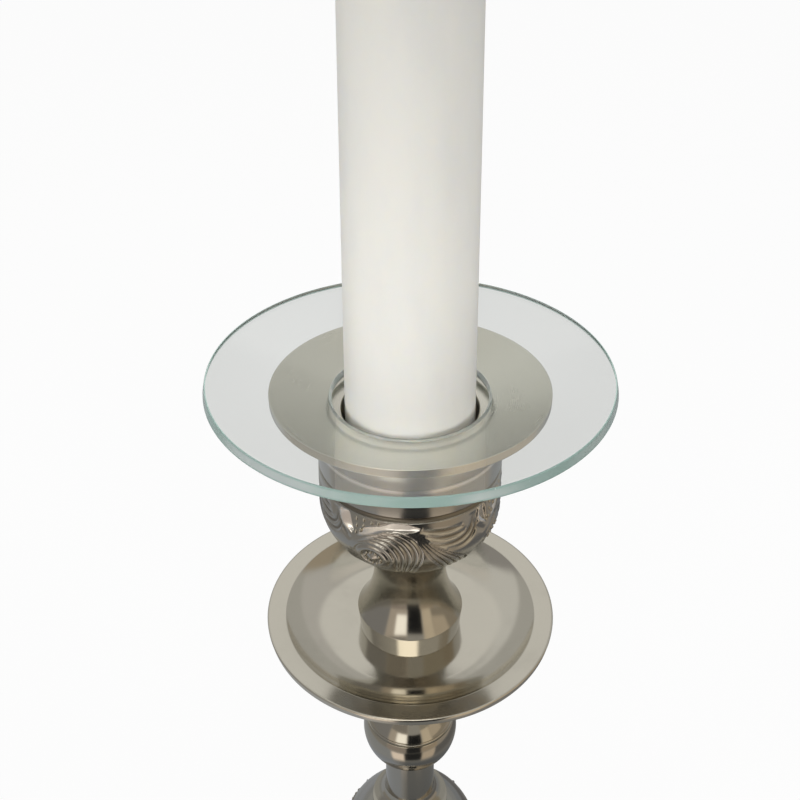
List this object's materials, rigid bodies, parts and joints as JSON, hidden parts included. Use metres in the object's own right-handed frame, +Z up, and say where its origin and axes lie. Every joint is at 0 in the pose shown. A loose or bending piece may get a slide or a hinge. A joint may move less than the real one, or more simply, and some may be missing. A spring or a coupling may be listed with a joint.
{
  "type": "candlestick with glass candle plate",
  "caption": "Tall turned nickel-plated candlestick with a pillar candle, a drip dish, a drip pan and a loose dished glass candle plate around the candle.",
  "frame": {"origin": "centre of the underside, on the surface that the candlestick stands on", "axes": "+Z up along the stem, +X to the right and -Y towards the viewer"},
  "size_m": [0.1616, 0.1616, 0.6695],
  "materials": {
    "nickel_plate": "nickel-plated castings, polished on the stem and satin on the dishes",
    "plain_steel": "plain zinc-grey steel fasteners",
    "clear_glass": "clear float glass, green at its ground edges",
    "wax": "smooth ivory-white candle wax",
    "cotton": "waxed cotton braid",
    "felt": "dark pressed felt"
  },
  "bodies": {
    "stand": {"base_foot": "nickel_plate", "lower_bell": "nickel_plate", "lower_knop": "nickel_plate", "slim_neck": "nickel_plate", "stem_bulb": "nickel_plate", "dish_spool": "nickel_plate", "drip_dish": "nickel_plate", "upper_bell": "nickel_plate", "candle_cup": "nickel_plate", "drip_pan": "nickel_plate", "base_cover": "plain_steel", "base_washer": "plain_steel", "base_nut": "plain_steel", "tie_rod": "plain_steel", "cup_washer": "plain_steel", "pricket": "plain_steel", "felt_pad": "felt"},
    "plate": {"glass_plate": "clear_glass"},
    "candle": {"candle": "wax", "wick": "cotton"}
  },
  "joints": [
    {"name": "plate_lift", "type": "slide", "parent": "stand", "child": "plate", "axis": [0, 0, 1], "range_m": [0, 0.27]},
    {"name": "candle_lift", "type": "slide", "parent": "stand", "child": "candle", "axis": [0, 0, 1], "range_m": [0, 0.1]}
  ]
}
